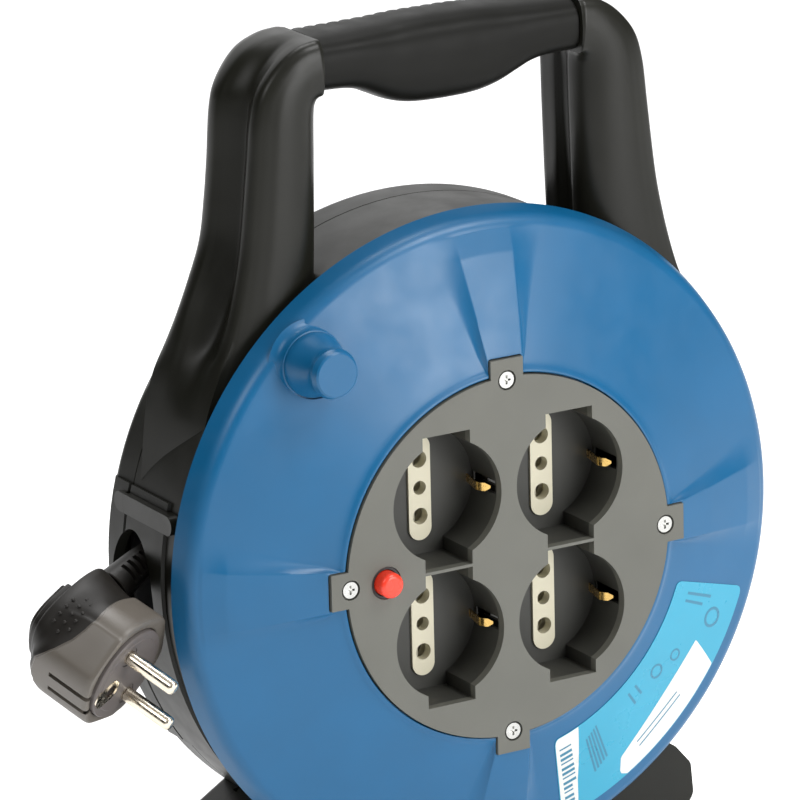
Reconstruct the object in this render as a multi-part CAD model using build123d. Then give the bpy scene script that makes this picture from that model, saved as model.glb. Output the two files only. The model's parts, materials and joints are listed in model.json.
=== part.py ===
from build123d import *
import math
import os

# Extension cord reel: a drum with a socket plate turns in a two-part casing with a carrying handle.
# Local frame of every function below: x right, y depth behind the socket plate's face, z above the
# drum's axis. place() moves the finished pieces to the row frame, with z up from under the feet.

# Driving dimensions, in millimetres
button_proud = 4.5
casing_back = 74.0
drum_height = 118.0
seam = 60.0
seam_gap = 0.02

handle_front = 26.0
handle_seam = 40.0
handle_back = 58.0
handle_wall = 3.4
handle_screw_seat = 53.0
ear_front = 42.0
ear_back = 50.0

disc_radius = 110.9
disc_crease_radius = 108.0
disc_crease_depth = 15.0
disc_back_depth = 23.4
collar_radius = 65.2
collar_depth = 0.8
field_radius = 66.8
field_depth = 3.0
disc_wall = 2.4
ledge_depth = 3.2
ledge_back = 6.2
ledge_radius = 57.8
opening_radius = 60.6

plate_radius = 60.1
plate_thickness = 3.0
tab_width = 12.0
tab_reach = 66.0
screw_circle = 59.0
screw_head_radius = 2.7

socket_offset = 22.85
well_radius = 20.0
well_depth = 18.3
bay_width = 17.5
bay_height = 44.7
cup_wall = 1.2
floor_back = 20.5
insert_width = 8.2
insert_length = 35.0
insert_front = 17.4
insert_back = 26.5
pin_pitch = 9.5
outer_hole_radius = 2.75
middle_hole_radius = 2.3
shutter_travel = 3.2

ring_radius = 107.0
ring_wall = 2.8
ring_front = 26.0
pad_radius = 108.1
back_wall = 2.8
screw_seat = 66.0

core_radius = 64.0
core_wall = 2.5
core_back = 66.0
flange_radius = 101.0
flange_thickness = 2.2
spindle_radius = 12.0
spindle_front = 44.0
running_gap = 0.05

cable_diameter = 7.0
cable_layers = 3
cable_turns_per_layer = 7

knob_x = -64.0
knob_z = 72.5
knob_seat = 11.5
knob_height = 15.5
knob_pin_radius = 3.0

button_x = -46.0
button_radius = 4.15
button_travel = 2.0

plate_y = button_proud - (casing_back + button_proud) / 2


def place(shape):
    return Pos(0, plate_y, drum_height) * shape


def slab(outline, front, back):
    """Thickens an outline drawn as x right, z up, from one depth to another."""
    plane = Plane(origin=(0, back, 0), x_dir=(1, 0, 0), z_dir=(0, -1, 0))
    return extrude(plane * outline, back - front)


def spun(*profile, turn=360.0):
    """Turns a (radius, depth) outline about the drum's axis."""
    return revolve(make_face(Polyline(*profile, close=True)), Axis.Y, turn)


def rod(x, z, radius, front, back):
    return slab(Pos(x, z) * Circle(radius), front, back)


def sleeve(x, z, outer, inner, front, back):
    return slab(Pos(x, z) * (Circle(outer) - Circle(inner)), front, back)


def bar(x, z, width, height, front, back):
    return slab(Pos(x, z) * Rectangle(width, height), front, back)


def about_axis(shape, angle):
    return Rot(0, angle, 0) * shape


def polygon(*points):
    return make_face(Polyline(*points, close=True))


def mirrored(points):
    """Closes a right-hand half outline, given from bottom to top, with its left-hand half."""
    return polygon(*points, *[(-x, z) for x, z in reversed(points)])


def rounded(shape, radius, depth):
    """Rounds the edges that lie in one face at right angles to the depth."""
    face = shape.faces().filter_by(Axis.Y).sort_by(Axis.Y)
    edges = (face[0] if depth == "front" else face[-1]).edges()
    return fillet(edges, radius)


# Handle

front_edge = [(88, 52), (79.1, 96), (75, 121), (72.6, 171)]
rear_edge = [(102.9, 30), (101.7, 42), (99.3, 58), (85.5, 93.3), (80.8, 105.8), (77.5, 128.8), (76, 171)]


def arch(edge, inset):
    """Handle outline in front view, with the window for the hand."""
    *side, (corner_x, corner_z) = edge
    outer = mirrored([(x - inset, z) for x, z in side] + [(corner_x - inset, corner_z - inset)])
    outer = fillet(outer.vertices().group_by(Axis.Y)[-1], 25 - inset)
    window = mirrored([(53.5 + inset, 40), (48 + inset, 152.5 + inset)])
    window = fillet(window.vertices().group_by(Axis.Y)[-1], 4)
    return outer - window


def leg_space():
    """Hollow inside the two legs."""
    left = polygon(
        (-54 - handle_wall, 50), (-49.5 - handle_wall, 146), (-66, 146), (-72 + handle_wall, 130),
        (-79.1 + handle_wall, 96), (-88 + handle_wall, 52),
    )
    leg = slab(left, handle_front + handle_wall, handle_back - handle_wall)
    return leg + mirror(leg, Plane.YZ)


def handle_screws():
    return [(67.0, 88.9), (-67.0, 88.9), (61.0, 130.0), (-61.0, 130.0)]


def handle_halves():
    front = rounded(slab(arch(front_edge, 0), handle_front, 36), 5, "front")
    waist = slab(arch(front_edge, 2.2), 35, 46)
    rear = rounded(slab(arch(rear_edge, 0), 44.5, handle_back), 4.5, "back")
    blank = front + waist + rear - leg_space() - rod(0, 0, ring_radius + 0.05, 0, 100)
    blank = blank - bar(0, 165, 82, 40, 0, 100)
    core_bar = bar(0, 161.5, 84, 9, 36, 52)
    front = (blank + core_bar) & slab(Rectangle(500, 500), 0, handle_seam - seam_gap)
    rear = (blank + core_bar) & slab(Rectangle(500, 500), handle_seam + seam_gap, 100)
    for x, z in handle_screws():
        lug = ear_front if z < 100 else handle_seam
        front = front + rod(x, z, 4.2, 29, min(lug, handle_seam) - seam_gap) - rod(x, z, 1.35, 33, 60)
        rear = rear + rod(x, z, 4.6, max(handle_seam, lug + 8.05 * (z < 100)) + seam_gap, 56)
        rear = rear - rod(x, z, 1.75, 40, 60) - rod(x, z, 3.4, handle_screw_seat, 60)
    return front, rear


def grip_outline():
    outline = mirrored([
        (12, 143.6), (24, 146.6), (33, 151.2), (40.6, 151.8),
        (40.6, 168.6), (30, 170.2), (12, 171.4),
    ])
    return fillet(outline.vertices().filter_by(lambda v: 20 < abs(v.X) < 35 and v.Y < 150), 10)


def handle_grip():
    sleeve_body = slab(grip_outline(), 29, 58)
    sleeve_body = rounded(rounded(sleeve_body, 8, "front"), 8, "back")
    return sleeve_body - bar(0, 161.5, 84, 9, 36, 52)


# Casing

def feet_outline(inset):
    foot = polygon(
        (38, -92), (42, -drum_height + inset), (80, -drum_height + inset),
        (87 - inset, -107), (86 - inset, -96), (80, -89 - inset), (62, -78),
    )
    foot = fillet(foot.vertices().filter_by(lambda v: v.X > 79 and v.Y > -110), 4)
    return foot + mirror(foot, Plane.YZ)


def ears():
    """Lugs that reach up into the legs and take the lower handle screws."""
    x, z = handle_screws()[0]
    tilt = math.degrees(math.atan2(x, z))
    lug = about_axis(bar(0, ring_radius + 3.5, 10, 15, ear_front, ear_back), tilt)
    lug = lug - rod(x, z, 1.75, 30, 60)
    return lug + mirror(lug, Plane.YZ)


def outlet():
    """Oval cable outlet through the left wall, half in each shell."""
    wall = Plane(origin=(-120, 54.5, -8), x_dir=(0, 1, 0), z_dir=(-1, 0, 0))
    return extrude(wall * Ellipse(13.5, 22.5), -30)


def shell_blank():
    """Both shells as one body, before it is parted at the seam."""
    ring = spun((0, ring_front), (ring_radius, ring_front), (ring_radius, casing_back), (0, casing_back))
    ring = rounded(ring, 4, "back")
    pad = spun((ring_radius - 1, 34), (pad_radius, 35), (pad_radius, 70), (ring_radius - 1, 73), turn=50)
    pad = about_axis(pad, 180 + 15 - 50)
    rib = Pos(-105.2, 47, 22) * extrude(Plane.YZ * SlotOverall(38, 6.5), 2.2, both=True)
    feet = rounded(rounded(slab(feet_outline(0), 28, 72), 3, "back"), 3, "front")
    body = ring + pad + rib + feet + ears()
    space = rod(0, 0, ring_radius - ring_wall, 0, casing_back - back_wall)
    return body - space - outlet()


def shells():
    blank = shell_blank()
    front = blank & slab(Rectangle(500, 500), 0, seam - seam_gap)
    rear = blank & slab(Rectangle(500, 500), seam + seam_gap, 100)
    groove = spun((ring_radius - 0.7, seam), (ring_radius + 2, seam - 1.2), (ring_radius + 2, seam + 1.2))
    front = front - groove
    rear = rear - groove
    for x, z in foot_screws():
        front = front + rod(x, z, 3.6, 30, seam - seam_gap) - rod(x, z, 1.35, 46, seam)
        rear = rear - rod(x, z, 1.75, 50, 80) - rod(x, z, 3.4, screw_seat, 80)
    spindle = rod(0, 0, spindle_radius, spindle_front, casing_back - 1)
    spindle = spindle + rod(0, 0, 22, core_back + 2.6, casing_back - 1)
    recess = sleeve(0, 0, 92, 88, casing_back - 0.8, 80)
    rear = rear + spindle - rod(0, 0, 1.6, 40, 68) - recess
    return front, rear


def foot_screws():
    return [(66, -100), (-66, -100)]


def housing_screws():
    seats = [(x, z, screw_seat) for x, z in foot_screws()]
    seats = seats + [(x, z, handle_screw_seat) for x, z in handle_screws()]
    return [rod(x, z, 3.1, seat, seat + 2.3) + rod(x, z, 1.3, seat - 18, seat) for x, z, seat in seats]


# Drum

def quarter_turns(shape):
    return [about_axis(shape, 90 * turn) for turn in range(4)]


def front_disc():
    body = spun(
        (ledge_radius, ledge_depth), (opening_radius, ledge_depth), (opening_radius, collar_depth),
        (collar_radius, collar_depth), (field_radius, field_depth),
        (disc_crease_radius, disc_crease_depth), (disc_radius, disc_back_depth),
        (disc_radius - disc_wall, disc_back_depth),
        (disc_crease_radius - disc_wall, disc_crease_depth + disc_wall),
        (core_radius + 2, ledge_back), (ledge_radius, ledge_back),
    )
    rim = body.edges().filter_by(GeomType.CIRCLE).sort_by(lambda e: abs(e.radius - disc_crease_radius))
    body = fillet(rim[0], 2.0)
    raised = spun(
        (collar_radius - 1, collar_depth), (disc_crease_radius - 3, disc_crease_depth - 1.0),
        (disc_crease_radius - 3, disc_crease_depth + 1), (collar_radius - 1, ledge_depth + 1),
    )
    wedge = slab(polygon((-7.6, 60), (7.6, 60), (23, 110), (-23, 110)), -2, 30)
    seat = rod(knob_x, knob_z, 11.3, knob_seat, disc_crease_depth + 2)
    pocket = rod(knob_x, knob_z, 11.3, 0, knob_seat)
    notch = bar(0, 62, tab_width + 0.5, 2 * (tab_reach - 62 + 0.4), -2, ledge_depth)
    hole = rod(0, screw_circle, 2.0, 0, 10)
    for bridge in quarter_turns(wedge):
        body = body + (raised & bridge)
    body = body + seat - pocket - rod(knob_x, knob_z, knob_pin_radius, 0, 30)
    for cut in quarter_turns(notch) + quarter_turns(hole):
        body = body - cut
    return body


def drum_core():
    body = sleeve(0, 0, core_radius, core_radius - core_wall, ledge_back, core_back)
    body = body + sleeve(0, 0, core_radius, 14, core_back - 4, core_back - 1.5)
    body = body + sleeve(0, 0, 16, spindle_radius + running_gap, spindle_front + 0.1, core_back)
    for boss in quarter_turns(rod(0, screw_circle, 4, ledge_back, 32)):
        body = body + boss
    for hole in quarter_turns(rod(0, screw_circle, 1.5, 0, 30)):
        body = body - hole
    for hole in quarter_turns(about_axis(rod(0, 48, 1.3, 60, 70), 45)):
        body = body - hole
    return body - about_axis(bar(0, core_radius, 12, 12, 50, 60), 25)


def rear_flange():
    body = sleeve(0, 0, flange_radius, 26, core_back, core_back + flange_thickness)
    for hole in quarter_turns(about_axis(rod(0, 48, 1.7, 60, 70), 45)):
        body = body - hole
    return body


def flange_screws():
    screw = rod(0, 48, 2.8, core_back + flange_thickness, core_back + flange_thickness + 1.6)
    screw = screw + rod(0, 48, 1.25, core_back - 3.6, core_back + flange_thickness)
    return quarter_turns(about_axis(screw, 45))


def retaining_washer():
    return sleeve(0, 0, 17, 1.8, spindle_front - 1.6, spindle_front)


def retaining_screw():
    head = rod(0, 0, 4, spindle_front - 4.2, spindle_front - 1.6)
    return head + rod(0, 0, 1.55, spindle_front - 1.7, spindle_front + 18)


def socket_places():
    return {
        "upper_left": (-socket_offset, socket_offset), "upper_right": (socket_offset, socket_offset),
        "lower_left": (-socket_offset, -socket_offset), "lower_right": (socket_offset, -socket_offset),
    }


def stadium(width, length):
    return Rotation(0, 0, 90) * SlotOverall(length, width)


def post_places():
    return [(0, 49), (0, -49), (49, 0)]


def clip_slots(x, z):
    """Cuts that hold the two earth clips of one socket."""
    cuts = [bar(x, z, 2 * well_radius + 6, 4.4, 3.6, 17)]
    for side in (-1, 1):
        cuts.append(bar(x + 21.1 * side, z, 1.2, 4.4, plate_thickness, 21))
    return cuts


def socket_plate():
    outline = Circle(plate_radius)
    tab = Pos(0, (tab_reach + 50) / 2) * Rectangle(tab_width, tab_reach - 50)
    for turn in range(4):
        outline = outline + Rot(0, 0, 90 * turn) * tab
    body = slab(outline, 0, plate_thickness)
    for x, z in post_places():
        body = body + rod(x, z, 3.4, plate_thickness - 0.5, 37)
    for x, z in socket_places().values():
        well = Circle(well_radius) + Rectangle(bay_width, bay_height)
        body = body - slab(Pos(x, z) * well, -1, plate_thickness + 1)
    for x, z in post_places():
        body = body - rod(x, z, 1.1, 20, 40)
    for counterbore in quarter_turns(rod(0, screw_circle, 3.3, -1, 1.8) + rod(0, screw_circle, 1.7, -1, 5)):
        body = body - counterbore
    return body - rod(button_x, 0, 5.4, -1, 10)


def socket_cup(x, z):
    """Well of one socket, with side bays and a slot in its floor for the contact insert."""
    outer = Circle(well_radius + cup_wall) + Rectangle(bay_width + 2 * cup_wall, 2 * socket_offset)
    well = Circle(well_radius) + Rectangle(bay_width, bay_height)
    body = slab(outer, plate_thickness, floor_back) - slab(well, 0, well_depth)
    body = Pos(x, 0, z) * (body - slab(stadium(insert_width + 0.1, insert_length + 0.1), 0, 30))
    for cut in clip_slots(x, z):
        body = body - cut
    return body


def plate_screws():
    head = rod(0, screw_circle, screw_head_radius, 0.3, 1.8)
    cross = bar(0, screw_circle, 3.0, 0.7, 0, 1.2) + bar(0, screw_circle, 0.7, 3.0, 0, 1.2)
    screw = head - cross + rod(0, screw_circle, 1.4, 1.7, 26)
    return quarter_turns(screw)


def socket_insert(x, z):
    nose = slab(stadium(insert_width, insert_length), insert_front, floor_back + 0.5)
    block = bar(0, 0, 24, 38, floor_back + 0.05, insert_back)
    body = nose + fillet(block.edges().filter_by(Axis.Y), 2)
    body = body - bar(-3.2, 0, 15.4, 26.4, 21.0, 23.6)
    for offset in (-pin_pitch, pin_pitch):
        body = body - rod(0, offset, outer_hole_radius, 0, 30)
    return Pos(x, 0, z) * (body - rod(0, 0, middle_hole_radius, 0, 30))


def shutter(x, z):
    """Sliding shutter: it half covers the outer holes at rest and clears them when pushed aside."""
    plate = bar(-3.4, 0, 7.0, 25.6, 21.2, 23.4)
    window = rod(0, 0, middle_hole_radius + 0.3, 0, 30) + bar(2, 0, 4, 2 * (middle_hole_radius + 0.3), 0, 30)
    return Pos(x, 0, z) * (plate - window)


def spring(radius, wire, length, turns):
    """Helical spring from z = 0 to its length."""
    path = Helix(pitch=length / turns, height=length, radius=radius)
    section = Plane(origin=path @ 0, z_dir=path % 0) * Circle(wire)
    return sweep(section, path)


def shutter_spring(x, z):
    coil = spring(0.8, 0.14, 3.6, 4)
    return Pos(x - 10.7, 22.3, z + 8) * Rot(0, 90, 0) * coil


def earth_clips():
    strip = polygon(
        (21.4, 3.3), (20.7, 3.3), (20.5, 4.6), (17.0, 8.8), (17.0, 10.0), (20.5, 15.6), (20.7, 27.9),
        (21.4, 27.9), (21.3, 15.2), (18.0, 9.7), (18.0, 9.1), (21.3, 5.0),
    )
    strip = extrude(strip, 1.7, both=True)
    clips = []
    for x, z in socket_places().values():
        clips.append(Pos(x, 0, z) * strip)
        clips.append(Pos(x, 0, z) * mirror(strip, Plane.YZ))
    return clips


def bus(offset, reach, side, front, name_radius):
    """Strips behind both rows of sockets, joined by a link at one side, with a sleeve at each hole."""
    body = bar(side, offset, 5, 2 * socket_offset + 5, front, front + 0.8)
    for row in (-socket_offset, socket_offset):
        body = body + bar(0, row + offset, 2 * reach, 5, front, front + 0.8)
    for x, z in socket_places().values():
        body = body + sleeve(x, z + offset, name_radius + 1.0, name_radius, insert_back + 0.1, front + 0.8)
        body = body - rod(x, z + offset, name_radius, 0, 60)
    return body


def earth_bus():
    return bus(0, 44.3, 0, 28.0, middle_hole_radius)


def live_contacts():
    return bus(pin_pitch, 36.5, 36.5, 31.0, outer_hole_radius - 0.3)


def neutral_contacts():
    return bus(-pin_pitch, 36.5, -36.5, 33.5, outer_hole_radius - 0.3)


def contact_cover():
    body = rod(0, 0, 54.3, 37.0, 39.0)
    body = body + sleeve(0, 0, 54.3, 53.0, 26.8, 38)
    body = body - bar(-42, -30, 12, 12, 30, 50)
    for x, z in post_places():
        body = body - rod(x, z, 1.4, 30, 50)
    return body


def cover_screws():
    return [rod(x, z, 2.4, 39, 40.5) + rod(x, z, 1.0, 24, 39.1) for x, z in post_places()]


def thermal_cutout():
    body = rod(button_x, 0, 5.2, 0.3, 4) + bar(button_x - 0.2, 0, 14, 12, plate_thickness + 0.2, 22)
    return body - rod(button_x, 0, button_radius + 0.3, -1, 9) - rod(button_x, 0, 2.3, 0, 16)


def cutout_terminals():
    return [bar(button_x - 0.2 + side, 0, 0.8, 6.3, 22, 30) for side in (-4, 4)]


def reset_button():
    cap = spun(
        (0, -button_proud), (button_radius, -button_proud), (button_radius, 6.0),
        (2.0, 6.0), (2.0, 12), (0, 12),
    )
    rim = cap.edges().filter_by(GeomType.CIRCLE).sort_by(Axis.Y)[0]
    return Pos(button_x, 0, 0) * fillet(rim, 1.6)


def button_spring():
    return Pos(button_x, 6.35, 0) * Rot(-90, 0, 0) * spring(3.1, 0.22, 2.3, 2.5)


def knob_pin():
    shaft = rod(knob_x, knob_z, knob_pin_radius, knob_seat - 9.0, disc_crease_depth + 3)
    return shaft + rod(knob_x, knob_z, 6, disc_crease_depth + 2, disc_crease_depth + 3.4)


def crank_knob():
    side = [
        (10.5, -0.4), (10.45, -1.8), (9.9, -3.6), (9.0, -6.2), (8.2, -9.0), (7.9, -11.4), (8.1, -12.4),
    ]
    outline = Polyline(
        side[-1], (8.1, -13.4), (7.4, -15.1), (6.8, -knob_height), (0, -knob_height), (0, -0.4), side[0])
    body = revolve(make_face(outline + Spline(*side)), Axis.Y)
    body = body - rod(0, 0, knob_pin_radius + running_gap, -9.4, 5)
    return Pos(knob_x, knob_seat, knob_z) * body


def cord_clamp():
    saddle = bar(0, 42, 26, 9, 51, 54.2) - rod(-9, 42, 1.8, 40, 60) - rod(9, 42, 1.8, 40, 60)
    feet = sleeve(-9, 42, 3.4, 1.3, 54.2, core_back - 4) + sleeve(9, 42, 3.4, 1.3, 54.2, core_back - 4)
    return about_axis(saddle + feet, 25)


def clamp_screws():
    screws = []
    for x in (-9, 9):
        screws.append(about_axis(rod(x, 42, 2.6, 49.4, 51) + rod(x, 42, 1.2, 50.9, 60), 25))
    return screws


def label():
    """Curved sticker on the lower right field of the disc."""
    slope = (disc_crease_depth - field_depth) / (disc_crease_radius - field_radius)
    inner, outer, thickness = 69.0, 102.3, 0.25
    start = field_depth + slope * (inner - field_radius)
    end = field_depth + slope * (outer - field_radius)
    patch = spun((inner, start), (inner, start - thickness), (outer, end - thickness), (outer, end), turn=58)
    return about_axis(patch, 16)


# Cable and plug

def cable_winding():
    """Outer shape of the wound cable, between the disc and the rear flange."""
    inner = core_radius + 0.3
    outer = core_radius + cable_layers * cable_diameter
    width = cable_turns_per_layer * cable_diameter
    back = core_back - 0.3
    return sleeve(0, 0, outer, inner, back - width, back)


plug_pins_way = Vector(0.423, -0.797, -0.430).normalized()
cord_way = Vector(0.887, 0.266, 0.378).normalized()
pin_line = plug_pins_way.cross(cord_way).normalized()
relief_base = Vector(-118.2, 48, -0.7)
plug_face_centre = relief_base - cord_way * 23.5 + plug_pins_way * 25.3
relief_length = 11.0

relief_tip = relief_base + cord_way * relief_length
tail_route = [
    tuple(relief_tip),
    (-96.8, 54.4, 8.4),
    (-88.8, 57.6, 18.2),
    (-84.6, 59.6, 30.5),
    (-79.6, 59.2, 42.3),
]


def plug_frame(along_cord, along_pins, across):
    """Point on the plug, measured from the middle of its face."""
    centre = plug_face_centre + cord_way * along_cord + plug_pins_way * along_pins
    return centre + pin_line * across


def plug_disc(radius, back, front):
    plane = Plane(origin=plug_frame(0, back, 0), x_dir=cord_way, z_dir=plug_pins_way)
    return extrude(plane * Circle(radius), front - back)


def plug_body():
    """Angled plug: a round front on a flatter back, from which the cord leaves sideways."""
    front = plug_disc(19, -17, -1.2)
    back_plane = Plane(origin=plug_frame(0, -33, 0), x_dir=cord_way, z_dir=plug_pins_way)
    outline = Pos(4, 0) * (Circle(16) & Rectangle(32, 28)) + Pos(13.5, 0) * Rectangle(20, 17)
    body = front + extrude(back_plane * outline, 17)
    body = body - plug_disc(16.2, -3.2, 5)
    for side in (-1, 1):
        pin = Plane(origin=plug_frame(0, -12, 9.5 * side), z_dir=plug_pins_way)
        body = body - extrude(pin * Circle(2.42), 20)
    for side in (-1, 1):
        slot = Plane(origin=plug_frame(side * 19, 0, 0), x_dir=pin_line, z_dir=cord_way)
        body = body - extrude(slot * Rectangle(9.4, 24), 1.6, both=True)
    return body


def plug_insert():
    body = plug_disc(16.1, -3.1, 0)
    for side in (-1, 1):
        pin = Plane(origin=plug_frame(0, 0, 9.5 * side), z_dir=plug_pins_way)
        body = body - extrude(pin * Circle(2.42), 10, both=True)
    return body


def plug_pins():
    pins = []
    for side in (-1, 1):
        plane = Plane(origin=plug_frame(0, -12, 9.5 * side), z_dir=plug_pins_way)
        pin = extrude(plane * Circle(2.4), 31)
        pins.append(fillet(pin.edges().sort_by(lambda e: e.center().dot(plug_pins_way))[-1], 1.6))
    return pins


def plug_earth_contacts():
    contacts = []
    for side in (-1, 1):
        plane = Plane(origin=plug_frame(side * 17.6, -6, 0), x_dir=pin_line, z_dir=cord_way * side)
        contacts.append(extrude(plane * Rectangle(8.4, 10), 1.2))
    return contacts


def strain_relief():
    base = Plane(origin=relief_base, x_dir=pin_line, z_dir=cord_way)
    tip = Plane(origin=relief_tip, x_dir=pin_line, z_dir=cord_way)
    return loft([base * Circle(6.2), tip * Circle(4.6)]) - extrude(tip * Circle(3.4), -6)


def route_radii(points):
    """Corner radii: 0.45 of the shorter run, divided by the tangent of half the turn."""
    radii = []
    for before, here, after in zip(points, points[1:], points[2:]):
        run_in = Vector(*here) - Vector(*before)
        run_out = Vector(*after) - Vector(*here)
        half_turn = math.radians(run_in.get_angle(run_out)) / 2
        radii.append(0.45 * min(run_in.length, run_out.length) / math.tan(half_turn))
    return radii


def cable_tail():
    radii = route_radii(tail_route)
    path = FilletPolyline(*tail_route, radius=radii)
    start = Plane(origin=path @ 0, z_dir=path % 0)
    tube = sweep(start * Circle(cable_diameter / 2), path)
    section = math.pi * cable_diameter ** 2 / 4
    print("cable arc radii", [round(radius, 1) for radius in radii])
    print("cable tail length", round(path.length, 1), "volume ratio", round(tube.volume / section / path.length, 4))
    return tube


front_housing, rear_housing = shells()
handle_front_half, handle_rear_half = handle_halves()
nodes = {
    "front_housing": [front_housing],
    "rear_housing": [rear_housing],
    "handle_front": [handle_front_half],
    "handle_rear": [handle_rear_half],
    "handle_grip": [handle_grip()],
    "housing_screws": housing_screws(),
    "retaining_washer": [retaining_washer()],
    "retaining_screw": [retaining_screw()],
    "front_disc": [front_disc()],
    "drum_core": [drum_core()],
    "rear_flange": [rear_flange()],
    "flange_screws": flange_screws(),
    "socket_plate": [socket_plate()],
    "plate_screws": plate_screws(),
    "earth_clips": earth_clips(),
    "earth_bus": [earth_bus()],
    "live_contacts": [live_contacts()],
    "neutral_contacts": [neutral_contacts()],
    "contact_cover": [contact_cover()],
    "cover_screws": cover_screws(),
    "thermal_cutout": [thermal_cutout()],
    "cutout_terminals": cutout_terminals(),
    "reset_button": [reset_button()],
    "button_spring": [button_spring()],
    "knob_pin": [knob_pin()],
    "crank_knob": [crank_knob()],
    "cord_clamp": [cord_clamp()],
    "clamp_screws": clamp_screws(),
    "label": [label()],
    "cable_winding": [cable_winding()],
    "cable_tail": [cable_tail()],
    "strain_relief": [strain_relief()],
    "plug_body": [plug_body()],
    "plug_insert": [plug_insert()],
    "plug_pins": plug_pins(),
    "plug_earth_contacts": plug_earth_contacts(),
}
for place_name, (x, z) in socket_places().items():
    nodes["socket_cup_" + place_name] = [socket_cup(x, z)]
    nodes["socket_insert_" + place_name] = [socket_insert(x, z)]
    nodes["shutter_" + place_name] = [shutter(x, z)]
    nodes["shutter_spring_" + place_name] = [shutter_spring(x, z)]

os.makedirs("parts", exist_ok=True)
for name, shapes in nodes.items():
    pieces = [place(solid) for shape in shapes for solid in shape.solids()]
    node = pieces[0] if len(pieces) == 1 else Compound(children=pieces)
    export_step(node, "parts/" + name + ".step")
    print(name, len(pieces), [round(solid.volume) for solid in pieces][:6])
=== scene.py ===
import json
import math

import bmesh
import bpy
import numpy as np
from mathutils import Matrix, Vector


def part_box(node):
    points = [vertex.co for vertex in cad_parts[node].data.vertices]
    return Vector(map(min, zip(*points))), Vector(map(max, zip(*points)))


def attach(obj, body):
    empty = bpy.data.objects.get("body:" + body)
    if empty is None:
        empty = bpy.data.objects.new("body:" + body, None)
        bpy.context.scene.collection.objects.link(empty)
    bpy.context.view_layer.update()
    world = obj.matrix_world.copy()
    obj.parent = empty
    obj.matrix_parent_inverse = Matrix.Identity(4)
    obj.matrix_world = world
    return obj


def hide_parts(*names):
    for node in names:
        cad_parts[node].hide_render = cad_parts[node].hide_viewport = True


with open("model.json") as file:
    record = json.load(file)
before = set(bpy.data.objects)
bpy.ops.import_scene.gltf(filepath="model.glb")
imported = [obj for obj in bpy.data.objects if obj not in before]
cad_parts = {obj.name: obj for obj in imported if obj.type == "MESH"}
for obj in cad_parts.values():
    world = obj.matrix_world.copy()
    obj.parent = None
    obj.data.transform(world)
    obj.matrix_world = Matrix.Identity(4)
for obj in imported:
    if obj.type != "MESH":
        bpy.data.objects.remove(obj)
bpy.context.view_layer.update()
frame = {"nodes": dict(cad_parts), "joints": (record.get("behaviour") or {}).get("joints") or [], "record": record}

# Shared places, from the CAD frame. The drum's axis runs along y through x = 0 and AXIS_Z, and depths
# are measured backwards from the socket plate's face.
MM = 0.001
AXIS_Z = next(j for j in frame["joints"] if j["name"] == "drum_spin")["pos_m"][2]
PLATE_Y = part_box("socket_plate")[0].y


def at(x, depth, z):
    """Row-frame point, in metres, from millimetres right of, behind and above the plate's centre."""
    return Vector((x * MM, PLATE_Y + depth * MM, AXIS_Z + z * MM))


# Camera

def make_camera():
    azimuth, elevation, roll = math.radians(-30.3), math.radians(16.8), math.radians(-1.4)
    distance, lens = 2.0, 281.7
    back = Vector((
        math.sin(azimuth) * math.cos(elevation),
        -math.cos(azimuth) * math.cos(elevation),
        math.sin(elevation),
    ))
    level = Vector((math.cos(azimuth), math.sin(azimuth), 0))
    upright = back.cross(level)
    right = level * math.cos(roll) + upright * math.sin(roll)
    up = back.cross(right)
    target = at(0, 0, 0) - right * 0.0353 + up * 0.0502
    camera = bpy.data.objects.new("camera", bpy.data.cameras.new("camera"))
    camera.data.lens = lens
    camera.data.sensor_width = 36
    camera.data.clip_end = 20
    turn = Matrix((right, up, back)).transposed()
    camera.matrix_world = Matrix.Translation(target + back * distance) @ turn.to_4x4()
    bpy.context.scene.collection.objects.link(camera)
    bpy.context.scene.camera = camera


# Materials

def material(name, colour, roughness, metallic=0.0, specular=0.5):
    """A principled material, with its node tree and shader."""
    made = bpy.data.materials.new(name)
    made.use_nodes = True
    tree = made.node_tree
    shader = tree.nodes["Principled BSDF"]
    shader.inputs["Base Color"].default_value = (*colour, 1)
    shader.inputs["Roughness"].default_value = roughness
    shader.inputs["Metallic"].default_value = metallic
    shader.inputs["Specular IOR Level"].default_value = specular
    return made, tree, shader


def noise(tree, scale, detail=2.0, roughness=0.5):
    place = tree.nodes.new("ShaderNodeTexCoord")
    texture = tree.nodes.new("ShaderNodeTexNoise")
    texture.inputs["Scale"].default_value = scale
    texture.inputs["Detail"].default_value = detail
    texture.inputs["Roughness"].default_value = roughness
    tree.links.new(place.outputs["Object"], texture.inputs["Vector"])
    return texture


def ramp(tree, source, stops):
    """Colour ramp on a texture's factor; stops are (position, grey or colour)."""
    node = tree.nodes.new("ShaderNodeValToRGB")
    for index, (position, colour) in enumerate(stops):
        if index > 1:
            node.color_ramp.elements.new(position)
        node.color_ramp.elements[index].position = position
        if not isinstance(colour, tuple):
            colour = (colour, colour, colour)
        node.color_ramp.elements[index].color = (*colour, 1)
    tree.links.new(source, node.inputs["Fac"])
    return node.outputs["Color"]


def bump(tree, shader, height, strength, distance):
    node = tree.nodes.new("ShaderNodeBump")
    node.inputs["Strength"].default_value = strength
    node.inputs["Distance"].default_value = distance
    tree.links.new(height, node.inputs["Height"])
    tree.links.new(node.outputs["Normal"], shader.inputs["Normal"])


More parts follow.
